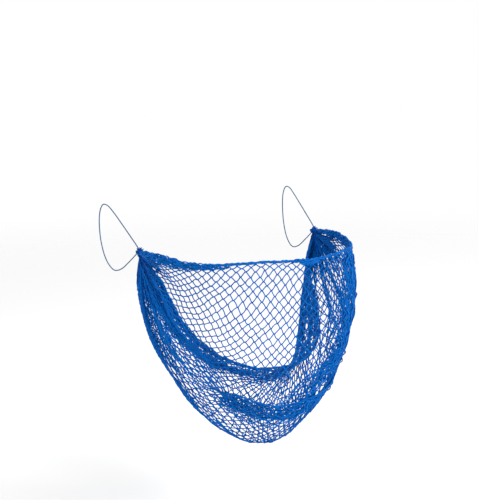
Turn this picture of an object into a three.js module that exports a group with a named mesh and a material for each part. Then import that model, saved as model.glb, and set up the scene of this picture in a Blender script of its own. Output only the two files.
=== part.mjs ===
// Disposable beard cover: a bag of knotless diamond net, gathered at each side of the face
// into a pleated bunch that is tied off in a knot, with an elastic thread loop for each ear.
// Millimetres, +Z up. The wearer faces -Y, and the wearer's right is -X.
// The origin lies midway between the two tie knots, where the ears carry the cover.

import * as THREE from 'three';
import { mergeVertices } from 'three/addons/utils/BufferGeometryUtils.js';

// ---- Driving dimensions ----------------------------------------------------------------

const HALF_SPAN = 70; // from the middle of the face to where the net's lines meet
const MEET_Y = -7; // the lines meet just in front of the ears, and a little below the origin
const MEET_Z = -2.5;
const WIDENING = 4; // how soon a line leaves that width for its own, past the meeting point
const NET_WALL = 1.3; // thickness that stands for the soft net
const GAP = 0.45; // clearance between neighbouring pieces

const NET_END = 0.925; // where the net meets its gathers, as a share of the half width
const GATHER_START = 0.937;
const GATHER_END = 0.983;
const UPPER_END = 0.987; // the bunched edges run on past the net, beside its gathers
const LOWER_END = 0.963;

const CELLS_ACROSS = 12; // diamonds from gather to gather
const CELLS_DOWN = 8; // diamonds from the upper edge round to the lower edge
const CELL_OPEN = 0.66; // share of each diamond that is cut through
const PIERCED_TO = 0.62; // the pleats beyond this are closed

const GATHER_WALL = 1.6; // at the net's end
const GATHER_NECK = 2.2; // at the knot
const GATHER_THIN = 0.06; // the wall thins towards its long edges, and ends this share short
const GATHER_ROUND = 0.4; // the lower, the later it thins
const GATHER_STATIONS = 5; // flat facets from the net's end to the knot
const GATHER_FACETS = 22; // flat facets across the pleats
const FOLD_AT = 0.81; // the net turns under from this line on, beside its gathers

const PLEATS = 4; // pleats from edge to edge of the net
const PLEAT_HEIGHT = 1.3;
const PLEAT_FROM = 0.45; // the pleats fade out towards the middle from here
const PLEATS_FADE = 0.62; // and below this line, before the net turns under

const TUCK_AT = 0.49; // a slack tuck lies across the bag, below the chin
const TUCK_HEIGHT = 1.8;
const TUCK_WIDTH = 0.035;

const KNOT_RADIUS = 2.8;
const KNOT_FACETS = { around: 16, down: 10 };
const KNOT_LOBES = 3;
const KNOT_LUMP = 0.13; // how far its lobes stand out, as a share of its radius
const KNOT_TWIST = 2; // how far the lobes wind round from pole to pole, in radians
const KNOT_OFFSET = { x: 0.6, y: 1.4, z: 1.9 }; // from where the net's lines meet
const THREAD_DIAMETER = 1.0;
const THREAD_STEPS = 40; // facets along a loop
const EDGE_STEPS = 40; // and along a bunched edge
const ROUND_SIDES = 8; // facets round either

// The curve that the net's lines are divided along into even steps from knot to knot.
const EVEN_DEPTH = 90;
const EVEN_SQUARE = 2.4;
const EVEN_SAMPLES = 600;

const PROBE = 0.004; // the small step in u or v that slopes are measured over

const NET_BLUE = 0x1c52b4;
const RIM_BLUE = 0x1746a6;
const KNOT_BLUE = 0x0c2f86;
const ELASTIC_BLUE = 0x5c7fa8;

// Each row is one line of the net from knot to knot, named by v: 0 at the upper edge, over
// the lip, and 1 at the lower edge, under the chin. y and z place its middle; pullY and pullZ
// are the point that bends it on its way there; half is its half width, and square says
// how boxy its curve is.
const LINES = [
  { v: 0.0, y: -92, z: -0.5, pullY: -52, pullZ: -8, half: 71, square: 2.5 },
  { v: 0.14, y: -94, z: -28, pullY: -58, pullZ: -20, half: 71, square: 2.5 },
  { v: 0.3, y: -92, z: -60, pullY: -52, pullZ: -42, half: 71, square: 2.6 },
  { v: 0.44, y: -84, z: -91, pullY: -37, pullZ: -62, half: 68.5, square: 2.4 },
  { v: 0.57, y: -68, z: -119, pullY: -15, pullZ: -75, half: 67.5, square: 2.15 },
  { v: 0.7, y: -48, z: -135, pullY: 5, pullZ: -75, half: 68, square: 2.05 },
  { v: 0.82, y: -32, z: -121, pullY: 18.5, pullZ: -57.5, half: 72, square: 2.05 },
  { v: 0.91, y: -43, z: -97, pullY: 17.5, pullZ: -44, half: 68.5, square: 2.15 },
  { v: 1.0, y: -67, z: -78, pullY: -6, pullZ: -45, half: 60.5, square: 2.5 },
];

// Half sizes of the two bunched edges along their length: at is the share of the half
// width from the middle to a knot, across is along the net, deep is through it.
const UPPER_EDGE = [
  { at: 0.0, across: 1.3, deep: 1.3 },
  { at: 0.12, across: 0.9, deep: 0.9 },
  { at: 0.4, across: 1.0, deep: 0.9 },
  { at: 0.58, across: 1.8, deep: 1.4 },
  { at: 0.78, across: 3.2, deep: 2.0 },
  { at: 0.92, across: 2.7, deep: 2.2 },
  { at: 1.0, across: 1.7, deep: 1.6 },
];
const LOWER_EDGE = [
  { at: 0.0, across: 1.1, deep: 1.0 },
  { at: 0.35, across: 1.9, deep: 1.2 },
  { at: 0.7, across: 2.8, deep: 1.5 },
  { at: 0.92, across: 1.4, deep: 1.2 },
  { at: 1.0, across: 0.7, deep: 0.7 },
];

// The right ear loop, from the top of the knot up over the ear, down behind it and back
// under the lobe. The left loop is its mirror image.
const LOOP_ROUTE = [
  { x: -71.2, y: -2.9, z: 2.9 },
  { x: -72.2, y: 6.3, z: 9.6 },
  { x: -73.2, y: 15.6, z: 16.2 },
  { x: -74.2, y: 24.6, z: 22.4 },
  { x: -75.2, y: 32.4, z: 26.8 },
  { x: -76, y: 39.2, z: 26.8 },
  { x: -76.5, y: 43.7, z: 20.6 },
  { x: -76.7, y: 44.9, z: 10.4 },
  { x: -76.4, y: 43.2, z: -1.6 },
  { x: -75.6, y: 38, z: -12 },
  { x: -74.4, y: 29.4, z: -17.6 },
  { x: -73.3, y: 19.4, z: -15.8 },
  { x: -72.2, y: 8.4, z: -9.4 },
  { x: -71.2, y: -2.8, z: -2 },
];

// ---- Interpolation ---------------------------------------------------------------------

/** A smooth value of one named column of a table, at key. */
function column(table, keyName, name, key) {
  const last = table.length - 1;
  const at = THREE.MathUtils.clamp(key, table[0][keyName], table[last][keyName]);
  let row = 0;
  while (row < last - 1 && at > table[row + 1][keyName]) row += 1;
  const slope = (i) => {
    const a = table[Math.max(i - 1, 0)];
    const b = table[Math.min(i + 1, last)];
    return (b[name] - a[name]) / (b[keyName] - a[keyName]);
  };
  const from = table[row];
  const to = table[row + 1];
  const step = to[keyName] - from[keyName];
  const t = (at - from[keyName]) / step;
  const t2 = t * t;
  const t3 = t2 * t;
  return (
    (2 * t3 - 3 * t2 + 1) * from[name] +
    (t3 - 2 * t2 + t) * step * slope(row) +
    (3 * t2 - 2 * t3) * to[name] +
    (t3 - t2) * step * slope(row + 1)
  );
}

/** Angles for even steps of length round a boxy half oval, as a function of -1 to 1. */
function evenAngles() {
  const power = 2 / EVEN_SQUARE;
  const lengths = [0];
  let before = [0, EVEN_DEPTH];
  for (let i = 1; i <= EVEN_SAMPLES; i += 1) {
    const angle = (i / EVEN_SAMPLES) * (Math.PI / 2);
    const point = [
      HALF_SPAN * Math.sin(angle) ** power,
      EVEN_DEPTH * Math.max(Math.cos(angle), 0) ** power,
    ];
    lengths.push(lengths[i - 1] + Math.hypot(point[0] - before[0], point[1] - before[1]));
    before = point;
  }
  return (u) => {
    const wanted = Math.min(Math.abs(u), 1) * lengths[EVEN_SAMPLES];
    let i = 1;
    while (i < EVEN_SAMPLES && lengths[i] < wanted) i += 1;
    const share = (wanted - lengths[i - 1]) / (lengths[i] - lengths[i - 1]);
    return Math.sign(u) * ((i - 1 + share) / EVEN_SAMPLES) * (Math.PI / 2);
  };
}

const angleAt = evenAngles();

// ---- The net's surface -----------------------------------------------------------------

/** The smooth surface: u is -1 at the right knot and 1 at the left, v as in LINES. */
function smoothSurface(u, v) {
  const value = (name) => column(LINES, 'v', name, v);
  const angle = angleAt(u);
  const power = 2 / value('square');
  const side = Math.sign(angle) * Math.abs(Math.sin(angle)) ** power;
  const out = Math.max(Math.cos(angle), 0) ** power;
  const left = 1 - out;
  const half = HALF_SPAN + (value('half') - HALF_SPAN) * Math.min(WIDENING * out, 1);
  return new THREE.Vector3(
    side * half,
    left * left * MEET_Y + 2 * out * left * value('pullY') + out * out * value('y'),
    left * left * MEET_Z + 2 * out * left * value('pullZ') + out * out * value('z'),
  );
}

/** The outward normal of the smooth surface. */
function surfaceNormal(u, v) {
  const v0 = Math.max(v - PROBE, 0);
  const v1 = Math.min(v + PROBE, 1);
  const across = smoothSurface(u + PROBE, v).sub(smoothSurface(u - PROBE, v));
  const down = smoothSurface(u, v1).sub(smoothSurface(u, v0));
  return down.cross(across).normalize();
}

/** How far pleats and the tuck lift the net from the smooth surface. */
function foldHeight(u, v) {
  const pleated = THREE.MathUtils.smoothstep(Math.abs(u), PLEAT_FROM, GATHER_START);
  const above = 1 - THREE.MathUtils.smoothstep(v, PLEATS_FADE, FOLD_AT);
  const pleats = PLEAT_HEIGHT * pleated * above * Math.cos(2 * Math.PI * PLEATS * v);
  const tuck = TUCK_HEIGHT * Math.exp(-(((v - TUCK_AT) / TUCK_WIDTH) ** 2) / 2);
  return pleats + tuck * (1 - pleated);
}

/** A point of the net, lifted by its folds and by an offset through the wall. */
function netPoint(u, v, offset) {
  const lift = foldHeight(u, v) + offset;
  return smoothSurface(u, v).addScaledVector(surfaceNormal(u, v), lift);
}

// ---- Solids ----------------------------------------------------------------------------

function geometryFrom(points, triangles) {
  const geometry = new THREE.BufferGeometry();
  const flat = points.flatMap((p) => [p.x, p.y, p.z]);
  geometry.setAttribute('position', new THREE.Float32BufferAttribute(flat, 3));
  geometry.setIndex(triangles.flat());
  return geometry;
}

/**
 * A wall made of a flat pattern of triangles: both faces, and a rim round every edge.
 * place gives the point of a spot, on the outer face for 1 and on the inner face for -1.
 */
function wallFromPattern(spots, triangles, place) {
  const count = spots.length;
  const outer = spots.map((spot) => place(spot, 1));
  const inner = spots.map((spot) => place(spot, -1));
  const faces = [];
  const edges = new Map();
  for (const [a, b, c] of triangles) {
    faces.push([a, b, c], [a + count, c + count, b + count]);
    for (const [from, to] of [[a, b], [b, c], [c, a]]) {
      if (!edges.delete(`${to},${from}`)) edges.set(`${from},${to}`, [from, to]);
    }
  }
  for (const [from, to] of edges.values()) {
    faces.push([to, from, from + count], [to, from + count, to + count]);
  }
  return geometryFrom([...outer, ...inner], faces);
}

/** A closed solid lofted through loops of equally many points, with a cap at each end. */
function loft(loops) {
  const sides = loops[0].length;
  const points = loops.flat();
  const faces = [];
  for (let i = 0; i < loops.length - 1; i += 1) {
    for (let j = 0; j < sides; j += 1) {
      const a = i * sides + j;
      const b = i * sides + ((j + 1) % sides);
      faces.push([a, b, b + sides], [a, b + sides, a + sides]);
    }
  }
  for (const [loop, flipped] of [[0, true], [loops.length - 1, false]]) {
    const middle = points.length;
    const sum = loops[loop].reduce((total, p) => total.add(p), new THREE.Vector3());
    points.push(sum.divideScalar(sides));
    for (let j = 0; j < sides; j += 1) {
      const a = loop * sides + j;
      const b = loop * sides + ((j + 1) % sides);
      faces.push(flipped ? [middle, b, a] : [middle, a, b]);
    }
  }
  return geometryFrom(points, faces);
}

/** Turns a geometry's faces round if its volume comes out negative. */
function facingOut(geometry) {
  const merged = mergeVertices(geometry, 1e-3);
  const position = merged.attributes.position;
  const index = merged.index.array;
  const [a, b, c] = [new THREE.Vector3(), new THREE.Vector3(), new THREE.Vector3()];
  let volume = 0;
  for (let i = 0; i < index.length; i += 3) {
    a.fromBufferAttribute(position, index[i]);
    b.fromBufferAttribute(position, index[i + 1]);
    c.fromBufferAttribute(position, index[i + 2]);
    volume += a.dot(b.cross(c));
  }
  if (volume < 0) merged.setIndex(Array.from(index).reverse());
  return merged;
}

// ---- The net bag -----------------------------------------------------------------------

/** The flat pattern of the net: diamonds in staggered rows, most of them cut through. */
function netPattern() {
  const spots = [];
  const numbers = new Map();
  const triangles = [];
  const spot = (i, j) => {
    const key = `${i.toFixed(3)},${j.toFixed(3)}`;
    if (!numbers.has(key)) {
      numbers.set(key, spots.length);
      spots.push([NET_END * (i / CELLS_ACROSS - 1), j / (2 * CELLS_DOWN)]);
    }
    return numbers.get(key);
  };
  const fan = (i, j, corners) => {
    const round = [];
    corners.forEach(([ci, cj], k) => {
      const [ni, nj] = corners[(k + 1) % corners.length];
      round.push([ci, cj], [(ci + ni) / 2, (cj + nj) / 2]);
    });
    const open = Math.abs(i / CELLS_ACROSS - 1) < PIERCED_TO && corners.length === 4;
    const inner = ([ri, rj]) => spot(i + (ri - i) * CELL_OPEN, j + (rj - j) * CELL_OPEN);
    round.forEach((from, k) => {
      const to = round[(k + 1) % round.length];
      if (open) {
        triangles.push([spot(...from), inner(from), inner(to)]);
        triangles.push([spot(...from), inner(to), spot(...to)]);
      } else {
        triangles.push([spot(...from), spot(i, j), spot(...to)]);
      }
    });
  };
  for (let i = 0; i <= 2 * CELLS_ACROSS; i += 1) {
    for (let j = 0; j <= 2 * CELLS_DOWN; j += 1) {
      if ((i + j) % 2 === 0) continue;
      const corners = [[i - 1, j], [i, j + 1], [i + 1, j], [i, j - 1]].filter(
        ([ci, cj]) => ci >= 0 && ci <= 2 * CELLS_ACROSS && cj >= 0 && cj <= 2 * CELLS_DOWN,
      );
      if (corners.length === 4) {
        fan(i, j, corners);
      } else {
        halfDiamond(i, j, corners, spot, triangles);
      }
    }
  }
  return { spots, triangles };
}

/** Half a diamond at an edge of the net, split at the middle of its straight side. */
function halfDiamond(i, j, corners, spot, triangles) {
  const upright = i % (2 * CELLS_ACROSS) === 0;
  const [first, second] = corners.filter(([ci, cj]) => (upright ? ci === i : cj === j));
  const tip = corners.find((corner) => corner !== first && corner !== second);
  const middle = (p, q) => [(p[0] + q[0]) / 2, (p[1] + q[1]) / 2];
  const ring = [first, middle(first, tip), tip, middle(tip, second), second];
  const straight = [second[0] - first[0], second[1] - first[1]];
  const turn = straight[0] * (tip[1] - first[1]) - straight[1] * (tip[0] - first[0]);
  for (let k = 0; k < ring.length - 1; k += 1) {
    const face = [spot(i, j), spot(...ring[k]), spot(...ring[k + 1])];
    triangles.push(turn > 0 ? face.reverse() : face);
  }
}

function makeNetBag() {
  const { spots, triangles } = netPattern();
  const place = ([u, v], face) => netPoint(u, v, (face * NET_WALL) / 2);
  return facingOut(wallFromPattern(spots, triangles, place));
}

// ---- The bunched edges -----------------------------------------------------------------

/** The net's edge line at v 0 or 1: its place, and the directions away from and through it. */
function edgeFrame(u, v) {
  const inward = v < 0.5 ? PROBE : -PROBE;
  const place = netPoint(u, v, 0);
  const along = netPoint(u + PROBE, v, 0).sub(netPoint(u - PROBE, v, 0)).normalize();
  const away = place.clone().sub(netPoint(u, v + inward, 0));
  away.addScaledVector(along, -away.dot(along)).normalize();
  return { place, away, through: along.clone().cross(away) };
}

function makeEdge(v, end, sizes) {
  const loops = [];
  for (let i = 0; i <= EDGE_STEPS; i += 1) {
    const u = end * ((2 * i) / EDGE_STEPS - 1);
    const at = Math.abs(u) / end;
    const across = column(sizes, 'at', 'across', at);
    const deep = column(sizes, 'at', 'deep', at);
    const { place, away, through } = edgeFrame(u, v);
    const middle = place.addScaledVector(away, across + GAP);
    const loop = [];
    for (let k = 0; k < ROUND_SIDES; k += 1) {
      const turn = (2 * Math.PI * (k + 0.5)) / ROUND_SIDES;
      loop.push(
        middle
          .clone()
          .addScaledVector(away, across * Math.cos(turn))
          .addScaledVector(through, deep * Math.sin(turn)),
      );
    }
    loops.push(loop);
  }
  return facingOut(loft(loops));
}

// ---- Gathers, knots and ear loops ------------------------------------------------------

/** The pleated bunch that narrows from the net's end to the knot. side is -1 or 1. */
function makeGather(side) {
  const spots = [];
  const triangles = [];
  for (let i = 0; i <= GATHER_STATIONS; i += 1) {
    for (let j = 0; j <= GATHER_FACETS; j += 1) {
      const k = spots.length;
      const next = k + GATHER_FACETS + 1;
      spots.push([i / GATHER_STATIONS, j / GATHER_FACETS]);
      if (i < GATHER_STATIONS && j < GATHER_FACETS) {
        triangles.push([k, k + 1, next + 1], [k, next + 1, next]);
      }
    }
  }
  const neckTop = smoothSurface(side * GATHER_END, 0);
  const neckFoot = smoothSurface(side * GATHER_END, FOLD_AT);
  const place = ([share, along], face) => {
    const point = netPoint(side * GATHER_START, FOLD_AT * along, 0);
    point.lerp(neckTop.clone().lerp(neckFoot, along), share);
    const inward = THREE.MathUtils.lerp(GATHER_THIN, 1 - GATHER_THIN, along);
    const rounded = Math.sin(Math.PI * inward) ** GATHER_ROUND;
    const wall = THREE.MathUtils.lerp(GATHER_WALL, GATHER_NECK, share) * rounded;
    point.x += (side * face * wall) / 2;
    return point;
  };
  return facingOut(wallFromPattern(spots, triangles, place));
}

/** The knot that ties a gather off: a small uneven ball of tightly wound net. */
function makeKnot(side) {
  const geometry = new THREE.SphereGeometry(KNOT_RADIUS, KNOT_FACETS.around, KNOT_FACETS.down);
  const position = geometry.attributes.position;
  const point = new THREE.Vector3();
  for (let i = 0; i < position.count; i += 1) {
    point.fromBufferAttribute(position, i);
    const around = Math.atan2(point.y, point.x);
    const height = point.z / KNOT_RADIUS;
    const lump = 1 + KNOT_LUMP * Math.cos(KNOT_LOBES * around + KNOT_TWIST * height) * (1 - height * height);
    point.multiplyScalar(lump);
    position.setXYZ(i, point.x * side, point.y, point.z);
  }
  geometry.deleteAttribute('normal');
  geometry.deleteAttribute('uv');
  return facingOut(geometry);
}

function makeEarLoop(side) {
  const route = LOOP_ROUTE.map((p) => new THREE.Vector3(-side * p.x, p.y, p.z));
  const path = new THREE.CatmullRomCurve3(route, false, 'centripetal');
  const ring = new THREE.Shape();
  for (let k = 0; k < ROUND_SIDES; k += 1) {
    const turn = (2 * Math.PI * k) / ROUND_SIDES;
    const [x, y] = [Math.cos(turn), Math.sin(turn)].map((n) => (n * THREAD_DIAMETER) / 2);
    if (k === 0) ring.moveTo(x, y);
    else ring.lineTo(x, y);
  }
  const geometry = new THREE.ExtrudeGeometry(ring, {
    steps: THREAD_STEPS,
    extrudePath: path,
    curveSegments: 1,
    bevelEnabled: false,
  });
  geometry.deleteAttribute('normal');
  geometry.deleteAttribute('uv');
  return facingOut(geometry);
}

// ---- Assembly --------------------------------------------------------------------------

function finish(color, roughness) {
  return new THREE.MeshStandardMaterial({ color, roughness, metalness: 0 });
}

const materials = {
  net: finish(NET_BLUE, 0.6),
  edge: finish(RIM_BLUE, 0.62),
  knot: finish(KNOT_BLUE, 0.7),
  elastic: finish(ELASTIC_BLUE, 0.5),
};

const cover = new THREE.Group();

function addPiece(name, geometry, material) {
  const mesh = new THREE.Mesh(geometry, material);
  mesh.name = name;
  cover.add(mesh);
  return mesh;
}

addPiece('net_pouch', makeNetBag(), materials.net);
addPiece('upper_rim', makeEdge(0, UPPER_END, UPPER_EDGE), materials.edge);
addPiece('lower_rim', makeEdge(1, LOWER_END, LOWER_EDGE), materials.edge);
for (const [name, side] of [['right', -1], ['left', 1]]) {
  addPiece(`${name}_gather`, makeGather(side), materials.net);
  const knot = addPiece(`${name}_knot`, makeKnot(side), materials.knot);
  knot.position.set(
    side * (HALF_SPAN + KNOT_OFFSET.x),
    MEET_Y + KNOT_OFFSET.y,
    MEET_Z + KNOT_OFFSET.z,
  );
  addPiece(`${name}_ear_loop`, makeEarLoop(side), materials.elastic);
}

export default cover;
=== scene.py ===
"""Disposable beard cover: its knotless net, bunched edges, gathers, tufts and elastic ear loops.

Blender 4.5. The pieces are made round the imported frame, which is in metres. The shapes are
worked out in millimetres, as the frame's own source is, and turned into metres when a mesh is
made. The wearer faces -Y, and the wearer's right is -X.
"""

import math
from collections import namedtuple

import bpy
import numpy as np
from mathutils import Matrix, Vector


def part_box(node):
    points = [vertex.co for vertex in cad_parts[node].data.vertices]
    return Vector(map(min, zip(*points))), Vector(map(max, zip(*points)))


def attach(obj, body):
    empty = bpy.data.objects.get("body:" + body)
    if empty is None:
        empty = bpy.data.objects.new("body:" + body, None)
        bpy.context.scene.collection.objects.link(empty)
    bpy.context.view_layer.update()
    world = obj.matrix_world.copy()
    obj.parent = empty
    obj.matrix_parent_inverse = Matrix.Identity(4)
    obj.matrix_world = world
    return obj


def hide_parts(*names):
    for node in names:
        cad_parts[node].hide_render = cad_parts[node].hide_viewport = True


bl_info = {
    "name": "Disposable Beard Cover",
    "version": (1, 0, 0),
    "blender": (4, 5, 0),
    "location": "3D View > Sidebar > Beard Cover",
    "description": "Builds a disposable beard cover: net, edges, gathers, tufts and ear loops",
    "category": "Object",
}

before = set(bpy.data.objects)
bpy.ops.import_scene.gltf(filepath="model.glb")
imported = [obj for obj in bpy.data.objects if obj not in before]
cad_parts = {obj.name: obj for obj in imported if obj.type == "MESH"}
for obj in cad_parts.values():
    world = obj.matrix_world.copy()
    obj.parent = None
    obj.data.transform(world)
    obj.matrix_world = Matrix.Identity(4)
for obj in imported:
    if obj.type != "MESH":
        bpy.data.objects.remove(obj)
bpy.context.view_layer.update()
KNOT_LOW, KNOT_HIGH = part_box("right_knot")
MM = 0.001

# The name of each side, and the sign of x on it.
SIDES = (("right", -1), ("left", 1))


# ---- The net's surface ---------------------------------------------------------------------

# One line of the net from tie knot to tie knot: v is 0 at the upper edge, over the lip, and 1
# at the lower edge, under the chin. y and z place its middle, pull_y and pull_z bend it on its
# way there, half is its half width and square says how boxy its curve is.
Line = namedtuple("Line", "v y z pull_y pull_z half square")
LINES = (
    Line(0.00, -92, -0.5, -52, -8, 71, 2.5),
    Line(0.14, -94, -28, -58, -20, 71, 2.5),
    Line(0.30, -92, -60, -52, -42, 71, 2.6),
    Line(0.44, -84, -91, -37, -62, 68.5, 2.4),
    Line(0.57, -68, -119, -15, -75, 67.5, 2.15),
    Line(0.70, -48, -135, 5, -75, 68, 2.05),
    Line(0.82, -32, -121, 18.5, -57.5, 72, 2.05),
    Line(0.91, -43, -97, 17.5, -44, 68.5, 2.15),
    Line(1.00, -67, -78, -6, -45, 60.5, 2.5),
)

# Half sizes of the bunched edges: at is the share of the way from the middle to a knot, across
# is along the net and deep is through it.
Bunch = namedtuple("Bunch", "at across deep")
UPPER_EDGE = (
    Bunch(0.00, 1.3, 1.3),
    Bunch(0.12, 0.9, 0.9),
    Bunch(0.40, 1.0, 0.9),
    Bunch(0.58, 1.8, 1.4),
    Bunch(0.78, 3.2, 2.0),
    Bunch(0.92, 2.7, 2.2),
    Bunch(1.00, 1.7, 1.6),
)
LOWER_EDGE = (
    Bunch(0.00, 1.1, 1.0),
    Bunch(0.35, 1.9, 1.2),
    Bunch(0.70, 2.8, 1.5),
    Bunch(0.92, 1.4, 1.2),
    Bunch(1.00, 0.7, 0.7),
)

# The half span of the knots, and the y and z at which every line meets a knot.
HALF_SPAN = 70.0
MEET_Y = -7.0
MEET_Z = -2.5

# A line has its own half width from 1 / WIDENING of the way out from the knots.
WIDENING = 4

# The boxy half oval round which u keeps an even pace, and how finely it is measured.
EVEN_DEPTH = 90.0
EVEN_SQUARE = 2.4
EVEN_SAMPLES = 600

# The sag of the upper edge: its depth, its place and width in u, and the v that it fades out at.
DIP = 3.5
DIP_AT = 0.05
DIP_WIDTH = 0.2
DIP_DOWN_TO = 0.2

# The u at which the bag gives way to its gathers, and at which a yarn leaves for the knot.
NET_END = 0.925
YARN_END = 0.985

# The step in u and v that slopes are measured over, and the least length that is divided by.
PROBE = 0.002
TINY = 1e-9


def smooth_step(x, low, high):
    t = np.clip((x - low) / (high - low), 0, 1)
    return t * t * (3 - 2 * t)


def table_value(table, key, name, at):
    """A smooth value of one named column of a table, for each key in at."""
    keys = np.array([getattr(row, key) for row in table], float)
    values = np.array([getattr(row, name) for row in table], float)
    slopes = np.gradient(values, keys)
    slopes[1:-1] = (values[2:] - values[:-2]) / (keys[2:] - keys[:-2])
    at = np.clip(at, keys[0], keys[-1])
    row = np.clip(np.searchsorted(keys, at, side="right") - 1, 0, len(keys) - 2)
    step = keys[row + 1] - keys[row]
    t = (at - keys[row]) / step
    return (
        (2 * t**3 - 3 * t**2 + 1) * values[row]
        + (t**3 - 2 * t**2 + t) * step * slopes[row]
        + (3 * t**2 - 2 * t**3) * values[row + 1]
        + (t**3 - t**2) * step * slopes[row + 1]
    )


def even_lengths():
    """Angles round a boxy half oval, and the share of its length reached at each."""
    angles = np.linspace(0, math.pi / 2, EVEN_SAMPLES + 1)
    power = 2 / EVEN_SQUARE
    x = HALF_SPAN * np.sin(angles) ** power
    y = EVEN_DEPTH * np.clip(np.cos(angles), 0, None) ** power
    lengths = np.concatenate([[0], np.cumsum(np.hypot(np.diff(x), np.diff(y)))])
    return angles, lengths / lengths[-1]


EVEN_ANGLES, EVEN_SHARES = even_lengths()


def smooth_surface(u, v):
    """Points of the unfolded net: u is -1 at the right knot and 1 at the left, v as in LINES."""
    u, v = np.broadcast_arrays(np.asarray(u, float), np.asarray(v, float))
    angle = np.sign(u) * np.interp(np.clip(np.abs(u), 0, 1), EVEN_SHARES, EVEN_ANGLES)
    value = {name: table_value(LINES, "v", name, v) for name in Line._fields[1:]}
    power = 2 / value["square"]
    side = np.sign(angle) * np.abs(np.sin(angle)) ** power
    out = np.clip(np.cos(angle), 0, None) ** power
    left = 1 - out
    half = HALF_SPAN + (value["half"] - HALF_SPAN) * np.minimum(WIDENING * out, 1)
    x = side * half
    y = left**2 * MEET_Y + 2 * out * left * value["pull_y"] + out**2 * value["y"]
    z = left**2 * MEET_Z + 2 * out * left * value["pull_z"] + out**2 * value["z"]
    z = z - DIP * np.exp(-(((u - DIP_AT) / DIP_WIDTH) ** 2)) * (1 - smooth_step(v, 0, DIP_DOWN_TO))
    return np.stack([x, y, z], -1)


def unit(vectors):
    return vectors / np.maximum(np.linalg.norm(vectors, axis=-1, keepdims=True), TINY)


def lengths_along(points):
    """The length of a path from its first point to each of its points."""
    return np.concatenate([[0], np.cumsum(np.linalg.norm(np.diff(points, axis=0), axis=1))])


def surface_slopes(u, v):
    """How fast the smooth surface moves with u and with v."""
    low, high = np.maximum(v - PROBE, 0), np.minimum(v + PROBE, 1)
    across = (smooth_surface(u + PROBE, v) - smooth_surface(u - PROBE, v)) / (2 * PROBE)
    down = (smooth_surface(u, high) - smooth_surface(u, low)) / (high - low)[..., None]
    return across, down


def surface_normal(u, v):
    across, down = surface_slopes(u, v)
    return unit(np.cross(down, across))


def place_on_net(u, v, lift):
    return smooth_surface(u, v) + surface_normal(u, v) * lift[:, None]


# ---- Folds ---------------------------------------------------------------------------------

# Broad pleats beside the gathers. They grow from PLEATS_FROM to PLEATS_FULL, which are u, and
# fade out from PLEATS_FADE to PLEATS_GONE, which are v.
PLEATS = 4
PLEATS_HEIGHT = 1.3
PLEATS_FROM = 0.45
PLEATS_FULL = 0.937
PLEATS_FADE = 0.62
PLEATS_GONE = 0.81

# A tuck across the chin.
TUCK_AT = 0.49
TUCK_HEIGHT = 1.8
TUCK_WIDTH = 0.035

# Fine pleats that overlap. They grow from FINE_FROM to FINE_FULL, which are u, and from
# FINE_BELOW to FINE_FULL_BELOW, which are v.
FINE_PLEATS = 9.0
FINE_FROM = 0.30
FINE_FULL = 0.88
FINE_BELOW = 0.30
FINE_FULL_BELOW = 0.44
FINE_OVERLAP = 1.35
FINE_HEIGHT = 1.2
FINE_WANDER = 2.4

# The folds lie flat near v TURN_AT, where the bag's sides turn under to its back. That begins at
# TURN_FROM and is whole from TURN_FULL on, which are u.
TURN_AT = 0.85
TURN_WIDTH = 0.06
TURN_FROM = 0.4
TURN_FULL = 0.6

# The folds fade out within this much of v from either edge.
EDGE_BAND = 0.05

# A doubled strip of slack net. at is the share of the way from edge to edge that it lies at,
# width its width, overlap how far it doubles back and height how far it stands out. It fades out
# beyond right and left, which are u.
Strip = namedtuple("Strip", "at width overlap height right left")
STRIPS = (
    Strip(0.485, 0.040, 3.0, 1.4, -0.30, 0.55),
    Strip(0.965, 0.022, 2.4, 1.0, -0.75, -0.30),
    Strip(0.965, 0.022, 2.4, 1.0, 0.45, 0.75),
)

# How soon a strip fades out, in u, how far it wanders, in v, and the v from which every strip
# fades out towards the lower edge.
STRIP_FADE = 0.16
STRIP_WANDER = 0.012
STRIPS_END = 0.98

# The net's random unevenness: its height off the surface, broad and fine, and its shift along
# it. The shift in u fades out from SHIFT_FADE to SHIFT_GONE, which are u.
BROAD_HEIGHT = 0.5
CRUMPLE_HEIGHT = 0.3
SHIFT = 0.004
SHIFT_FADE = 0.6
SHIFT_GONE = 0.9

# The waves that a ripple is made of, and the range of their own pitch.
RIPPLE_WAVES = 7
RIPPLE_PITCH = (0.7, 1.6)


def ripples(seed, across, down):
    """
    A smooth random function of u and v, from about -1 to 1. across and down are how often it
    rises and falls in one unit of u and of v.
    """
    source = np.random.default_rng(seed)
    turn = source.uniform(0, 2 * math.pi, RIPPLE_WAVES)
    pitch = source.uniform(*RIPPLE_PITCH, RIPPLE_WAVES)
    phase = source.uniform(0, 2 * math.pi, RIPPLE_WAVES)

    def value(u, v):
        u, v = across * u, down * v
        total = 0
        for t, p, f in zip(turn, pitch, phase):
            total = total + np.sin(p * (u * math.cos(t) + v * math.sin(t)) * 2 * math.pi + f)
        return total / math.sqrt(RIPPLE_WAVES)

    return value


fine_phase = ripples(11, 0.5, 1.6)
strip_wander = ripples(12, 1.3, 0)
broad_lift = ripples(13, 1.6, 3.2)
shift_u = ripples(14, 2.5, 5)
shift_v = ripples(15, 3, 5)
crumple = ripples(16, 6, 12)


def strip_fold(u, v, strip):
    """How far a doubled strip moves and lifts the spots of the flat net."""
    at = strip.at + STRIP_WANDER * strip_wander(u, v)
    beyond = (v - at) / strip.width
    strength = smooth_step(u, strip.right - STRIP_FADE, strip.right)
    strength = strength * (1 - smooth_step(u, strip.left, strip.left + STRIP_FADE))
    near = strength * (1 - smooth_step(v, STRIPS_END, 1)) * np.exp(-(beyond**2))
    return -strip.overlap * strip.width * beyond * near, strip.height * beyond * near


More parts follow.
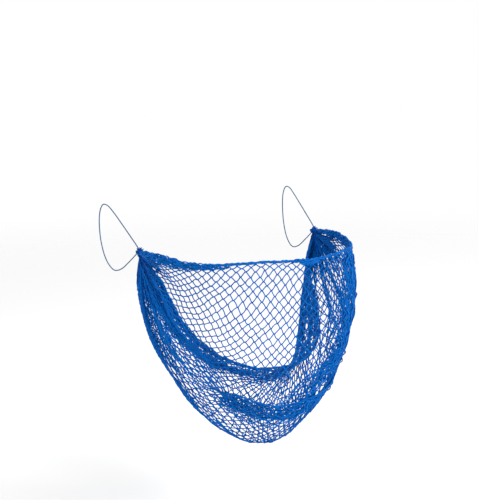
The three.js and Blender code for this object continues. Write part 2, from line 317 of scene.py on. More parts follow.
def folded(u, v):
    """Where a spot of the flat net goes once it is folded: u, v and its lift from the surface."""
    side = np.abs(u)
    gathered = smooth_step(side, FINE_FROM, FINE_FULL) * smooth_step(v, FINE_BELOW, FINE_FULL_BELOW)
    inside = smooth_step(v, 0, EDGE_BAND) * smooth_step(1 - v, 0, EDGE_BAND)
    turn = 2 * math.pi * FINE_PLEATS * v + FINE_WANDER * fine_phase(u, v)
    at_turn = np.exp(-(((v - TURN_AT) / TURN_WIDTH) ** 2)) * smooth_step(side, TURN_FROM, TURN_FULL)
    flat = 1 - at_turn
    fine = flat * inside * gathered * np.sin(turn)
    v_new = v - FINE_OVERLAP * fine / (2 * math.pi * FINE_PLEATS)
    lift = FINE_HEIGHT * fine

    for strip in STRIPS:
        move, rise = strip_fold(u, v, strip)
        v_new, lift = v_new + move, lift + rise

    pleated = smooth_step(side, PLEATS_FROM, PLEATS_FULL)
    above = 1 - smooth_step(v, PLEATS_FADE, PLEATS_GONE)
    lift = lift + PLEATS_HEIGHT * pleated * above * np.cos(2 * math.pi * PLEATS * v)
    lift = lift + TUCK_HEIGHT * (1 - pleated) * np.exp(-(((v - TUCK_AT) / TUCK_WIDTH) ** 2) / 2)
    lift = lift + BROAD_HEIGHT * flat * inside * broad_lift(u, v)
    lift = lift + CRUMPLE_HEIGHT * flat * inside * crumple(u, v)

    u_new = u + SHIFT * (1 - smooth_step(side, SHIFT_FADE, SHIFT_GONE)) * shift_u(u, v)
    v_new = v_new + SHIFT * inside * shift_v(u, v)
    return u_new, np.clip(v_new, 0, 1), lift


# ---- The relaxed net -----------------------------------------------------------------------

# The net settles in RELAX_STEPS steps. In each, a bar that is too long pulls its ends in by PULL
# of what it has too much, a crossing with all of its bars gives way by RELAX_SMOOTHING to how
# its neighbours have moved, and none moves by more than STEP_LIMIT in u or v. STEADY and
# STEADY_LEAST keep the move small where the surface's two directions are nearly one.
RELAX_STEPS = 120
RELAX_SMOOTHING = 0.25
PULL = 0.8
STEP_LIMIT = 0.01
STEADY = 1.001
STEADY_LEAST = 1
BARS_AT_CROSSING = 4

# Half the height of a diamond at the net's middle before it settles, how it falls off towards
# the gathers, and how far the rows lie askew, in columns a row.
CELL_HEIGHT = 4.0
CELL_TAPER = 0.8
SKEW = 0.16

# How finely the surface is measured along a row and down its middle.
ALONG_SAMPLES = 400
DOWN_SAMPLES = 600

# Where the net's rows lie closer together, in its middle and towards its gathers: place, width
# and strength of each crowding.
CROWDED = ((0.0, 0.02, 0.8), (0.485, 0.05, 2.2), (0.96, 0.03, 1.5), (1.0, 0.03, 1.0))
CROWDED_SIDES = ((0.0, 0.02, 0.8), (0.40, 0.06, 1.3), (0.81, 0.05, 1.7), (0.99, 0.03, 1.8))
SIDES_FROM = 0.25
SIDES_FULL = 0.60


def diamond_net(last_column, last_row):
    """
    The crossings of a diamond net: a mask of the grid's spots that have one, the column and the
    row of each, and the numbers of the crossings at the two ends of each bar.
    """
    i, j = np.meshgrid(np.arange(last_column + 1), np.arange(last_row + 1), indexing="ij")
    node = (i + j) % 2 == 0
    number = np.full(node.shape, -1)
    number[node] = np.arange(node.sum())
    a = np.concatenate([number[:-1, :-1][node[:-1, :-1]], number[:-1, 1:][node[:-1, 1:]]])
    b = np.concatenate([number[1:, 1:][node[:-1, :-1]], number[1:, :-1][node[:-1, 1:]]])
    return node, i[node], j[node], a, b


def first_places(t, row_share, bar):
    """u and v of the crossings before they settle, from t and the share of the way down."""
    share = np.linspace(0, YARN_END, ALONG_SAMPLES)
    angle = np.interp(share, EVEN_SHARES, EVEN_ANGLES)
    half_height = CELL_HEIGHT * np.cos(angle) ** CELL_TAPER
    density = 1 / np.sqrt(bar**2 - half_height**2)
    spread = np.concatenate([[0], np.cumsum(density[1:] + density[:-1])])
    u = np.sign(t) * np.interp(np.abs(t), spread / spread[-1], share)

    down = np.linspace(0, 1, DOWN_SAMPLES)
    steps = np.linalg.norm(np.diff(smooth_surface(0 * down, down), axis=0), axis=1)
    places = []
    for crowded in (CROWDED, CROWDED_SIDES):
        weight = 1 + sum(k * np.exp(-(((down - at) / width) ** 2)) for at, width, k in crowded)
        lengths = np.concatenate([[0], np.cumsum(steps * (weight[1:] + weight[:-1]) / 2)])
        places.append(np.interp(row_share, lengths / lengths[-1], down))
    beside = smooth_step(np.abs(u), SIDES_FROM, SIDES_FULL)
    return u, places[0] + (places[1] - places[0]) * beside


def settled(u, v, a, b, held_u, held_v, bar):
    """
    u and v of the crossings once the bars from a to b have pulled them together. Those that
    held_u names stay where they are, and those that held_v names keep their v.
    """
    joined = np.bincount(np.concatenate([a, b]), minlength=len(u)).astype(float)[:, None]
    loose = ((joined[:, 0] == BARS_AT_CROSSING) & ~held_u).astype(float)[:, None]
    start = smooth_surface(u, v)

    for _ in range(RELAX_STEPS):
        place = smooth_surface(u, v)
        bars = place[b] - place[a]
        length = np.maximum(np.linalg.norm(bars, axis=1), TINY)
        pull = (np.where(length > bar, length - bar, 0) / length)[:, None] * bars
        moved = place - start
        force = np.zeros_like(place)
        np.add.at(force, a, PULL * pull)
        np.add.at(force, b, -PULL * pull)
        neighbours = np.zeros_like(place)
        np.add.at(neighbours, a, moved[b])
        np.add.at(neighbours, b, moved[a])
        force = force / joined + RELAX_SMOOTHING * loose * (neighbours / joined - moved)
        across, downward = surface_slopes(u, v)
        aa, ad, dd = [(p * q).sum(1) for p, q in
                      ((across, across), (across, downward), (downward, downward))]
        fa, fd = (across * force).sum(1), (downward * force).sum(1)
        det = aa * dd * STEADY - ad**2 + STEADY_LEAST
        du = np.clip((dd * fa - ad * fd) / det, -STEP_LIMIT, STEP_LIMIT)
        dv = np.clip((aa * fd - ad * fa) / det, -STEP_LIMIT, STEP_LIMIT)
        u = np.where(held_u, u, np.clip(u + du, -YARN_END, YARN_END))
        v = np.where(held_v | held_u, v, np.clip(v + dv, 0, 1))
    return u, v


def relaxed_net(columns, rows, bar):
    """
    Lays a diamond net over the smooth surface, a little askew, and lets it settle: bars longer
    than the yarn between two crossings pull their ends together. Returns u and v by column and
    row, and t, which is -1 and 1 where the net reaches its ends.
    """
    extra = math.ceil(SKEW * rows / 2) * 2
    node, i, j, a, b = diamond_net(2 * (columns + extra), 2 * rows)
    t = (i - columns - extra - SKEW * (j - rows)) / columns
    u, v = first_places(t, j / (2.0 * rows), bar)
    u, v = settled(u, v, a, b, np.abs(t) >= 1, (j == 0) | (j == 2 * rows), bar)

    grids = []
    for values in (u, v, t):
        grid = np.full(node.shape, np.nan)
        grid[node] = values
        grids.append(grid)
    return grids


def yarn_routes(t_grid):
    """
    The crossings that each yarn runs through, from gather to gather: it goes down or up one
    row with each column, and turns back at the net's two edges. Each is (column, row, step).
    """
    last_column, last_row = t_grid.shape[0] - 1, t_grid.shape[1] - 1
    routes = []
    for start in range(0, last_row + 1, 2):
        for step in (1, -1):
            if (start == 0 and step < 0) or (start == last_row and step > 0):
                continue
            row, route = start, []
            for column in range(last_column + 1):
                route.append((column, row, step))
                if not 0 <= row + step <= last_row:
                    step = -step
                row += step
            t = np.array([t_grid[column, row] for column, row, _ in route])
            within = np.nonzero(np.abs(t) < 1)[0]
            routes.append(route[max(within[0] - 1, 0) : within[-1] + 2])
    return routes


def spline(values, steps):
    """Catmull-Rom points through the rows of values, with so many steps from row to row."""
    padded = np.concatenate([2 * values[:1] - values[1:2], values, 2 * values[-1:] - values[-2:-1]])
    t = (np.arange(steps) / steps)[None, :, None]
    a, b, c, d = [padded[k : len(padded) - 3 + k, None, :] for k in range(4)]
    points = 0.5 * (
        2 * b + (c - a) * t + (2 * a - 5 * b + 4 * c - d) * t**2 + (3 * b - a - 3 * c + d) * t**3
    )
    return np.concatenate([points.reshape(-1, values.shape[1]), values[-1:]])


# ---- Yarn meshes ---------------------------------------------------------------------------

# The sides of a yarn's tube: fewer on the net's many yarns.
NET_SIDES = 5
THREAD_SIDES = 6

# A path that starts this close to straight up gets its first normal along x.
STEEP = 0.9


def carried_normals(points):
    """A normal for each point of a path, carried along it without twisting."""
    tangents = unit(np.gradient(points, axis=0))
    start = np.array([0.0, 0.0, 1.0]) if abs(tangents[0][2]) < STEEP else np.array([1.0, 0, 0])
    normals = []
    for tangent in tangents:
        start = start - tangent * (start @ tangent)
        start = start / np.linalg.norm(start)
        normals.append(start)
    return np.array(normals)


class Yarns:
    """Closed tubes gathered into one mesh, with a UV map round and along and a shade for each."""

    def __init__(self, sides):
        self.sides = sides
        self.points, self.quads, self.caps = [], [], []
        self.uvs, self.cap_uvs, self.shades = [], [], []
        self.count = 0

    def add(self, points, radius, shade, normals=None):
        """A tube along points. radius and shade are numbers, or one number for each point."""
        points = np.asarray(points, float)
        normals = carried_normals(points) if normals is None else normals
        tangents = unit(np.gradient(points, axis=0))
        side = unit(np.cross(tangents, normals))
        normals = np.cross(side, tangents)
        turn = 2 * math.pi * np.arange(self.sides) / self.sides
        radius = np.broadcast_to(np.asarray(radius, float), len(points))[:, None, None]
        ring = (
            np.cos(turn)[None, :, None] * normals[:, None, :]
            - np.sin(turn)[None, :, None] * side[:, None, :]
        )
        self.points.append((points[:, None, :] + radius * ring).reshape(-1, 3))
        self.shades.append(np.repeat(np.broadcast_to(shade, len(points)), self.sides))

        k = np.arange(len(points) - 1)[:, None] * self.sides + self.count
        here = np.arange(self.sides)[None, :]
        there = (here + 1) % self.sides
        quads = np.stack([k + here, k + there, k + there + self.sides, k + here + self.sides], -1)
        self.quads.append(quads.reshape(-1, 4))
        along = lengths_along(points)
        low, high = along[:-1, None] + 0 * here, along[1:, None] + 0 * here
        left, right = here / self.sides + 0 * low, (here + 1) / self.sides + 0 * low
        corners = [(left, low), (right, low), (right, high), (left, high)]
        self.uvs.append(np.stack([np.stack(c, -1) for c in corners], -2).reshape(-1, 2))

        last = self.count + (len(points) - 1) * self.sides
        around = np.arange(self.sides)
        self.caps.append(self.count + around[::-1])
        self.caps.append(last + around)
        self.cap_uvs.append(np.zeros((self.sides, 2)))
        self.cap_uvs.append(np.full((self.sides, 2), along[-1]))
        self.count += len(points) * self.sides

    def piece(self, name, material):
        """The finished object, in metres, at the origin."""
        mesh = bpy.data.meshes.new(name)
        points = np.concatenate(self.points) * MM
        quads = np.concatenate(self.quads)
        caps = np.concatenate(self.caps)
        corners = np.concatenate([quads.ravel(), caps])
        sizes = np.concatenate([np.full(len(quads), 4), np.full(len(self.caps), self.sides)])
        starts = np.concatenate([[0], np.cumsum(sizes)[:-1]])
        mesh.vertices.add(len(points))
        mesh.vertices.foreach_set("co", points.ravel())
        mesh.loops.add(len(corners))
        mesh.loops.foreach_set("vertex_index", corners.astype(np.int32))
        mesh.polygons.add(len(sizes))
        mesh.polygons.foreach_set("loop_start", starts.astype(np.int32))
        mesh.polygons.foreach_set("loop_total", sizes.astype(np.int32))
        mesh.update(calc_edges=True)
        uv = mesh.uv_layers.new(name="yarn")
        uv.data.foreach_set("uv", np.concatenate(self.uvs + self.cap_uvs).ravel())
        shade = mesh.attributes.new("shade", "FLOAT", "POINT")
        shade.data.foreach_set("value", np.concatenate(self.shades).astype(np.float32))
        mesh.polygons.foreach_set("use_smooth", np.ones(len(sizes), bool))
        mesh.materials.append(material)
        mesh.validate()
        piece = bpy.data.objects.new(name, mesh)
        bpy.context.scene.collection.objects.link(piece)
        return piece


# ---- Materials -----------------------------------------------------------------------------

# The numbers of a Mix node's colour sockets.
MIX_FIRST = 6
MIX_SECOND = 7
MIX_RESULT = 2

# A yarn's lightness, from 0 for its deep colour to 1 for its bright one, is the sum of these
# parts and of its own shade. The ply part is painted shade: the crests of the plies are drawn
# lighter and the grooves between them darker.
PLY_GROOVE_SHADE = 0.34
MOTTLE_LIGHTNESS = 0.4
MOTTLE_SCALE = 420.0
MOTTLE_DETAIL = 4.0

# Its fine fibres, how matt it is, how much glossier its plies are, and its bump.
FIBRE_SCALE = 5200.0
FIBRE_HEIGHT = 0.3
YARN_ROUGHNESS = 0.42
PLY_GLOSS = 0.08
YARN_SPECULAR = 0.06
SHEEN_ROUGHNESS = 0.4
BUMP_STRENGTH = 0.6
BUMP_DISTANCE = 0.06 * MM


def object_noise(tree, scale, detail=2.0):
    """A noise from 0 to 1 that is fixed to the piece."""
    place = tree.nodes.new("ShaderNodeTexCoord")
    noise = tree.nodes.new("ShaderNodeTexNoise")
    noise.inputs["Scale"].default_value = scale
    noise.inputs["Detail"].default_value = detail
    tree.links.new(place.outputs["Object"], noise.inputs["Vector"])
    return noise.outputs["Fac"]


def twisted_yarn_group():
    """Shader group: colour, roughness and height of a twisted yarn, from the UV map yarn."""
    group = bpy.data.node_groups.get("Twisted Yarn")
    if group:
        return group
    group = bpy.data.node_groups.new("Twisted Yarn", "ShaderNodeTree")
    sockets = (
        ("Deep", "INPUT", "NodeSocketColor", (0, 0, 0.2, 1)),
        ("Bright", "INPUT", "NodeSocketColor", (0, 0.2, 0.8, 1)),
        ("Plies", "INPUT", "NodeSocketFloat", 2.0),
        ("Turns per mm", "INPUT", "NodeSocketFloat", 0.5),
        ("Color", "OUTPUT", "NodeSocketColor", None),
        ("Roughness", "OUTPUT", "NodeSocketFloat", None),
        ("Height", "OUTPUT", "NodeSocketFloat", None),
    )
    for name, way, kind, default in sockets:
        socket = group.interface.new_socket(name, in_out=way, socket_type=kind)
        if default is not None:
            socket.default_value = default
    nodes, links = group.nodes, group.links
    entry = nodes.new("NodeGroupInput")
    result = nodes.new("NodeGroupOutput")

    def math_node(operation, first, second=None):
        node = nodes.new("ShaderNodeMath")
        node.operation = operation
        for socket, value in zip(node.inputs, (first, second)):
            if isinstance(value, (int, float)):
                socket.default_value = value
            elif value is not None:
                links.new(value, socket)
        return node.outputs[0]

    uv = nodes.new("ShaderNodeUVMap")
    uv.uv_map = "yarn"
    split = nodes.new("ShaderNodeSeparateXYZ")
    links.new(uv.outputs[0], split.inputs[0])
    twist = math_node("MULTIPLY", split.outputs["Y"], entry.outputs["Turns per mm"])
    turn = math_node("ADD", math_node("MULTIPLY", split.outputs["X"], entry.outputs["Plies"]), twist)
    ply = math_node("ABSOLUTE", math_node("SINE", math_node("MULTIPLY", turn, math.pi)))

    shade = nodes.new("ShaderNodeAttribute")
    shade.attribute_name = "shade"
    mottle = object_noise(group, MOTTLE_SCALE, MOTTLE_DETAIL)
    # Painted shade: the plies' crests are lighter than the grooves between them.
    lightness = math_node("MULTIPLY", ply, PLY_GROOVE_SHADE)
    lightness = math_node("ADD", lightness, math_node("MULTIPLY", mottle, MOTTLE_LIGHTNESS))
    lightness = math_node("ADD", lightness, shade.outputs["Fac"])
    lightness.node.use_clamp = True
    mix = nodes.new("ShaderNodeMix")
    mix.data_type = "RGBA"
    links.new(lightness, mix.inputs["Factor"])
    links.new(entry.outputs["Deep"], mix.inputs[MIX_FIRST])
    links.new(entry.outputs["Bright"], mix.inputs[MIX_SECOND])
    links.new(mix.outputs[MIX_RESULT], result.inputs["Color"])

    fuzz = math_node("MULTIPLY", object_noise(group, FIBRE_SCALE), FIBRE_HEIGHT)
    links.new(math_node("ADD", ply, fuzz), result.inputs["Height"])
    rough = math_node("ADD", YARN_ROUGHNESS, fuzz)
    rough = math_node("SUBTRACT", rough, math_node("MULTIPLY", ply, PLY_GLOSS))
    links.new(rough, result.inputs["Roughness"])
    return group


def yarn_material(name, deep, bright, plies, turns, sheen):
    """A twisted yarn. deep and bright are its range of colour, turns is its twist in each mm."""
    material = bpy.data.materials.get(name)
    if material:
        return material
    material = bpy.data.materials.new(name)
    material.use_nodes = True
    nodes, links = material.node_tree.nodes, material.node_tree.links
    shader = nodes["Principled BSDF"]
    shader.inputs["Sheen Weight"].default_value = sheen
    shader.inputs["Sheen Roughness"].default_value = SHEEN_ROUGHNESS
    shader.inputs["Specular IOR Level"].default_value = YARN_SPECULAR
    yarn = nodes.new("ShaderNodeGroup")
    yarn.node_tree = twisted_yarn_group()
    yarn.inputs["Deep"].default_value = (*deep, 1)
    yarn.inputs["Bright"].default_value = (*bright, 1)
    yarn.inputs["Plies"].default_value = plies
    yarn.inputs["Turns per mm"].default_value = turns
    bump = nodes.new("ShaderNodeBump")
    bump.inputs["Strength"].default_value = BUMP_STRENGTH
    bump.inputs["Distance"].default_value = BUMP_DISTANCE
    links.new(yarn.outputs["Color"], shader.inputs["Base Color"])
    links.new(yarn.outputs["Roughness"], shader.inputs["Roughness"])
    links.new(yarn.outputs["Height"], bump.inputs["Height"])
    links.new(bump.outputs["Normal"], shader.inputs["Normal"])
    return material


def net_material():
    colours = bpy.context.scene.beard_cover_colours
    return yarn_material(
        "net yarn", colours.yarn_deep, colours.yarn_bright, plies=2, turns=0.45, sheen=0.0)


def elastic_material():
    colours = bpy.context.scene.beard_cover_colours
    return yarn_material(
        "covered elastic", colours.elastic_deep, colours.elastic_bright,
        plies=6, turns=1.6, sheen=0.08)


# ---- Sizes and colours that a user would change --------------------------------------------


class BeardCoverSizes(bpy.types.PropertyGroup):
    yarn_diameter: bpy.props.FloatProperty(
        name="Yarn diameter", description="Thickness of the net's yarn",
        default=0.74 * MM, min=0.2 * MM, max=1.2 * MM, precision=5, unit="LENGTH")
    bar_length: bpy.props.FloatProperty(
        name="Bar length", description="Yarn between two crossings of the net",
        default=6.1 * MM, min=4.5 * MM, max=9 * MM, precision=5, unit="LENGTH")
    columns: bpy.props.IntProperty(
        name="Columns", description="Diamonds from gather to gather", default=38, min=10, max=60)
    rows: bpy.props.IntProperty(
        name="Rows", description="Diamonds from edge to edge", default=48, min=10, max=60)
    elastic_diameter: bpy.props.FloatProperty(
        name="Elastic diameter", description="Thickness of the ear loops' covered elastic",
        default=0.85 * MM, min=0.5 * MM, max=2 * MM, precision=5, unit="LENGTH")
    upper_strands: bpy.props.IntProperty(
        name="Upper edge strands", description="Yarns bunched along the upper edge beside a gather",
        default=44, min=8, max=80)
    lower_strands: bpy.props.IntProperty(
        name="Lower edge strands", description="Yarns bunched along the lower edge",
        default=44, min=6, max=80)


class BeardCoverColours(bpy.types.PropertyGroup):
    yarn_deep: bpy.props.FloatVectorProperty(
        name="Yarn, deep", description="Darkest blue of the yarn", subtype="COLOR",
        default=(0.0, 0.035, 0.23), min=0, max=1)
    yarn_bright: bpy.props.FloatVectorProperty(
        name="Yarn, bright", description="Brightest blue of the yarn", subtype="COLOR",
        default=(0.0, 0.21, 0.70), min=0, max=1)
    elastic_deep: bpy.props.FloatVectorProperty(
        name="Elastic, deep", description="Darkest colour of the elastic", subtype="COLOR",
        default=(0.02, 0.06, 0.15), min=0, max=1)
    elastic_bright: bpy.props.FloatVectorProperty(
        name="Elastic, bright", description="Brightest colour of the elastic", subtype="COLOR",
        default=(0.12, 0.22, 0.38), min=0, max=1)
    floor: bpy.props.FloatVectorProperty(
        name="Floor", description="Colour of the studio floor", subtype="COLOR",
        default=(0.98, 0.98, 0.98), min=0, max=1)


# ---- Camera --------------------------------------------------------------------------------

CAMERA_TURN = math.radians(-31)
CAMERA_RISE = math.radians(10)
CAMERA_ROLL = math.radians(-1.5)
CAMERA_DISTANCE = 750.0
CAMERA_LENS = 77.0
AIM_RIGHT = 8.4
AIM_DOWN = 8.1


class BEARDCOVER_OT_camera(bpy.types.Operator):
    """Add the camera, from the wearer's front right and a little above"""

    bl_idname = "beard_cover.camera"
    bl_label = "Camera"

    def execute(self, context):
        right = Vector((math.cos(CAMERA_TURN), math.sin(CAMERA_TURN), 0))
        back = Vector((
            math.sin(CAMERA_TURN) * math.cos(CAMERA_RISE),
            -math.cos(CAMERA_TURN) * math.cos(CAMERA_RISE),
            math.sin(CAMERA_RISE),
        ))
        up = back.cross(right)
        cos, sin = math.cos(CAMERA_ROLL), math.sin(CAMERA_ROLL)
        right, up = right * cos + up * sin, up * cos - right * sin
        aim = right * AIM_RIGHT - up * AIM_DOWN
        place = (aim + back * CAMERA_DISTANCE) * MM
        turned = Matrix((right, up, back)).transposed().to_4x4()
        camera = bpy.data.objects.new("camera", bpy.data.cameras.new("camera"))
        camera.data.lens = CAMERA_LENS
        camera.matrix_world = Matrix.Translation(place) @ turned
        context.scene.collection.objects.link(camera)
        context.scene.camera = camera
        return {"FINISHED"}


# ---- Ear loops -----------------------------------------------------------------------------

# The right ear loop, from the top of the knot up over the ear, down behind it and back under
# the lobe. The left loop is its mirror image.
LOOP_ROUTE = (
    (-71.2, -2.9, 2.9),
    (-72.2, 6.3, 9.6),
    (-73.2, 15.6, 16.2),
    (-74.2, 24.6, 22.4),
    (-75.2, 32.4, 26.8),
    (-76, 39.2, 26.8),
    (-76.5, 43.7, 20.6),
    (-76.7, 44.9, 10.4),
    (-76.4, 43.2, -1.6),
    (-75.6, 38, -12),
    (-74.4, 29.4, -17.6),
    (-73.3, 19.4, -15.8),
    (-72.2, 8.4, -9.4),
    (-71.2, -2.8, -2),
)

# The steps of its path from spot to spot, and its plies: how many, the length of a turn, how far
# they swell past half the thread, and how much lighter each is than the last.
LOOP_STEPS = 60
LOOP_PLIES = 3
LOOP_PITCH = 2.6
PLY_SWELL = 1.05
PLY_SHADE = 0.06

# Where its two ends are tied in, from the knot's middle.
LOOP_TIES = ((0, 0.6, 0.8), (0, 0.6, -0.8))


def knot_middle(side):
    middle = (KNOT_LOW + KNOT_HIGH) / 2 / MM
    return np.array([-side * middle.x, middle.y, middle.z])


class BEARDCOVER_OT_ear_loops(bpy.types.Operator):
    """Add the two loops of thin twisted elastic thread"""

    bl_idname = "beard_cover.ear_loops"
    bl_label = "Ear Loops"

    def execute(self, context):
        thread_radius = context.scene.beard_cover_sizes.elastic_diameter / MM / 2
        ply_radius = thread_radius / 2
        for name, side in SIDES:
            route = np.array([(-side * x, y, z) for x, y, z in LOOP_ROUTE])
            start, end = knot_middle(side) + np.array(LOOP_TIES)
            path = spline(np.vstack([start, route, end]), LOOP_STEPS)
            normals = carried_normals(path)
            sides = np.cross(unit(np.gradient(path, axis=0)), normals)
            length = lengths_along(path)
            yarns = Yarns(THREAD_SIDES)
            for ply in range(LOOP_PLIES):
                turn = 2 * math.pi * (length / LOOP_PITCH + ply / LOOP_PLIES)
                out = np.cos(turn)[:, None] * normals + np.sin(turn)[:, None] * sides
                yarns.add(path + ply_radius * out, ply_radius * PLY_SWELL, PLY_SHADE * ply)
            piece = yarns.piece(f"{name}_elastic_loop", elastic_material())
            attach(piece, "root")
            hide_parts(f"{name}_ear_loop")
        return {"FINISHED"}


# ---- Net, gathers and edges ----------------------------------------------------------------

NET_PIECES = ("net_bag", "net_bag_second_yarns")
NET_SEED = 21
GATHER_SEED = 31

# How far the crossings stray in u and v, and how the yarns differ in thickness and shade.
UNEVENNESS = 0.0011
YARN_THICKNESS = (0.93, 1.07)
YARN_SHADE = (-0.1, 0.12)

# Half the length of a joint at a crossing, how far each of its yarns stands off, and how thick a
# yarn is there and between. From u JOINT_FROM to JOINT_SMALL a joint shrinks by JOINT_SHRINK.
JOINT_HALF = 0.18
JOINT_OFFSET = 0.24
JOINT_SWELL = 1.12
BAR_SWELL = 0.95
JOINT_FROM = 0.75
JOINT_SMALL = 0.95
JOINT_SHRINK = 0.8

# The inner points of a bar, as shares of its way in u and in v, and its slack.
BAR_TURNS = ((1 / 3, 0.31), (2 / 3, 0.69))
BAR_SLACK = 0.05

# How far a yarn's end strays in the knot, how much darker it is painted on its way into the
# knot (a painted shade where the gathered yarns crowd together), and the steps of its path from
# spot to spot.
KNOT_STRAY = 0.7
KNOT_PAINTED_SHADE = 0.35
END_STEPS = 2

# The slack yarns of each gather: how many, the u that they begin at, their points, how they
# wander in v and stray, how far they stand off the surface there, and their shades.
SLACK_YARNS = 110
SLACK_BEGIN = (0.78, 0.92)
SLACK_POINTS = 12
SLACK_WANDER = 0.012
SLACK_TURN = 3
SLACK_LIFT = (-1.2, 1.4)
SLACK_RISE = 0.6
SLACK_STRAY = 0.12
SLACK_KNOT_STRAY = 0.9
SLACK_SHADE = (-0.38, 0.28)


def net_yarns(sizes):
    """
    The route of each yarn of the net: points, normals, thickness and u. At a crossing two
    yarns run side by side for a short way, half a twist round each other.
    """
    bar = sizes.bar_length / MM
    u_grid, v_grid, t_grid = relaxed_net(sizes.columns, sizes.rows, bar)
    source = np.random.default_rng(NET_SEED)
    uneven = source.normal(0, UNEVENNESS, (2, *u_grid.shape))
    yarns = []
    for route in yarn_routes(t_grid):
        i, j, way = np.array(route).T
        u, v = u_grid[i, j] + uneven[0, i, j], v_grid[i, j] + uneven[1, i, j]
        u, v = np.clip(u, -YARN_END, YARN_END), np.clip(v, 0, 1)
        across, _ = surface_slopes(u, v)
        half = JOINT_HALF / np.linalg.norm(across, axis=1)
        half = half * (1 - JOINT_SHRINK * smooth_step(np.abs(u), JOINT_FROM, JOINT_SMALL))
        place = smooth_surface(u, v)
        slack = np.sqrt(np.maximum(bar**2 - (np.diff(place, axis=0) ** 2).sum(1), 0))
        bow = BAR_SLACK * slack[:, None] * source.normal(0, 1, (len(slack), 3))
        start, end = u[:-1] + half[:-1], u[1:] - half[1:]
        stops_u, stops_v = [u[:-1] - half[:-1], start], [v[:-1], v[:-1]]
        lifts = [JOINT_OFFSET * way[:-1], -JOINT_OFFSET * way[:-1]]
        bows = [0 * bow, 0 * bow]
        for along, turned in BAR_TURNS:
            stops_u.append(start + along * (end - start))
            stops_v.append(v[:-1] + turned * (v[1:] - v[:-1]))
            lifts.append(0 * half[:-1])
            bows.append(bow)
        u_all, v_all, lift_all = [np.stack(x, 1).ravel() for x in (stops_u, stops_v, lifts)]
        bow_all = np.stack(bows, 1).reshape(-1, 3)
        u_all = np.clip(u_all, -YARN_END, YARN_END)
        u_fold, v_fold, lift = folded(u_all, v_all)
        normals = surface_normal(u_fold, v_fold)
        points = smooth_surface(u_fold, v_fold) + normals * (lift + lift_all)[:, None] + bow_all
        thickness = np.tile([JOINT_SWELL, JOINT_SWELL, BAR_SWELL, BAR_SWELL], len(half) - 1)
        yarns.append((points, normals, thickness, u_all))
    return yarns


class BEARDCOVER_OT_net(bpy.types.Operator):
    """Add the bag of knotless net, and the gather at each side that it narrows to"""

    bl_idname = "beard_cover.net"
    bl_label = "Net and Gathers"

    def execute(self, context):
        sizes = context.scene.beard_cover_sizes
        yarn_radius = sizes.yarn_diameter / MM / 2
        source = np.random.default_rng(GATHER_SEED)
        bags = (Yarns(NET_SIDES), Yarns(NET_SIDES))
        gathers = {-1: Yarns(THREAD_SIDES), 1: Yarns(THREAD_SIDES)}
        for number, (points, normals, thickness, u) in enumerate(net_yarns(sizes)):
            radius = yarn_radius * source.uniform(*YARN_THICKNESS) * thickness
            shade = source.uniform(*YARN_SHADE)
            inside = np.nonzero(np.abs(u) < NET_END)[0]
            first, last = inside[0], inside[-1]
            part = slice(first, last + 1)
            bags[number % 2].add(points[part], radius[part], shade, normals[part])
            for side, part in ((-1, slice(0, first + 1)), (1, slice(last, len(points)))):
                tail = points[part] if side > 0 else points[part][::-1]
                path = self.tied(tail, side, KNOT_STRAY, source)
                # The yarn darkens towards the knot: painted shade of the crowded gather.
                shades = shade - KNOT_PAINTED_SHADE * np.linspace(0, 1, len(path))
                gathers[side].add(path, yarn_radius, shades)
        for bag, name in zip(bags, NET_PIECES):
            piece = bag.piece(name, net_material())
            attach(piece, "root")
            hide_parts("net_pouch")
        for name, side in SIDES:
            self.add_slack(gathers[side], side, yarn_radius, source)
            gather = gathers[side].piece(f"{name}_gathered_net", net_material())
            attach(gather, "root")
            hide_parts(f"{name}_gather")
        return {"FINISHED"}

    def tied(self, points, side, stray, source):
        """A smooth path through points that ends in the knot."""
        goal = knot_middle(side) + source.normal(0, stray, 3)
        return spline(np.concatenate([points, [goal]]), END_STEPS)

    def add_slack(self, yarns, side, yarn_radius, source):
        """The net's slack, drawn together into pleats that run to the knot."""
        for _ in range(SLACK_YARNS):
            v_start = source.uniform(0, 1)
            u = side * np.linspace(source.uniform(*SLACK_BEGIN), YARN_END, SLACK_POINTS)
            wander = source.normal(0, SLACK_WANDER)
            v = np.clip(v_start + wander * np.sin(np.linspace(0, SLACK_TURN, SLACK_POINTS)), 0, 1)
            lift = source.uniform(*SLACK_LIFT) * np.linspace(SLACK_RISE, 1, SLACK_POINTS)
            points = place_on_net(u, v, lift)
            points = points + source.normal(0, SLACK_STRAY, points.shape)
            path = self.tied(points, side, SLACK_KNOT_STRAY, source)
            # Its own shade, darkening towards the knot: painted shade of the crowded gather.
            shades = source.uniform(*SLACK_SHADE) - KNOT_PAINTED_SHADE * np.linspace(0, 1, len(path))
            yarns.add(path, yarn_radius, shades)


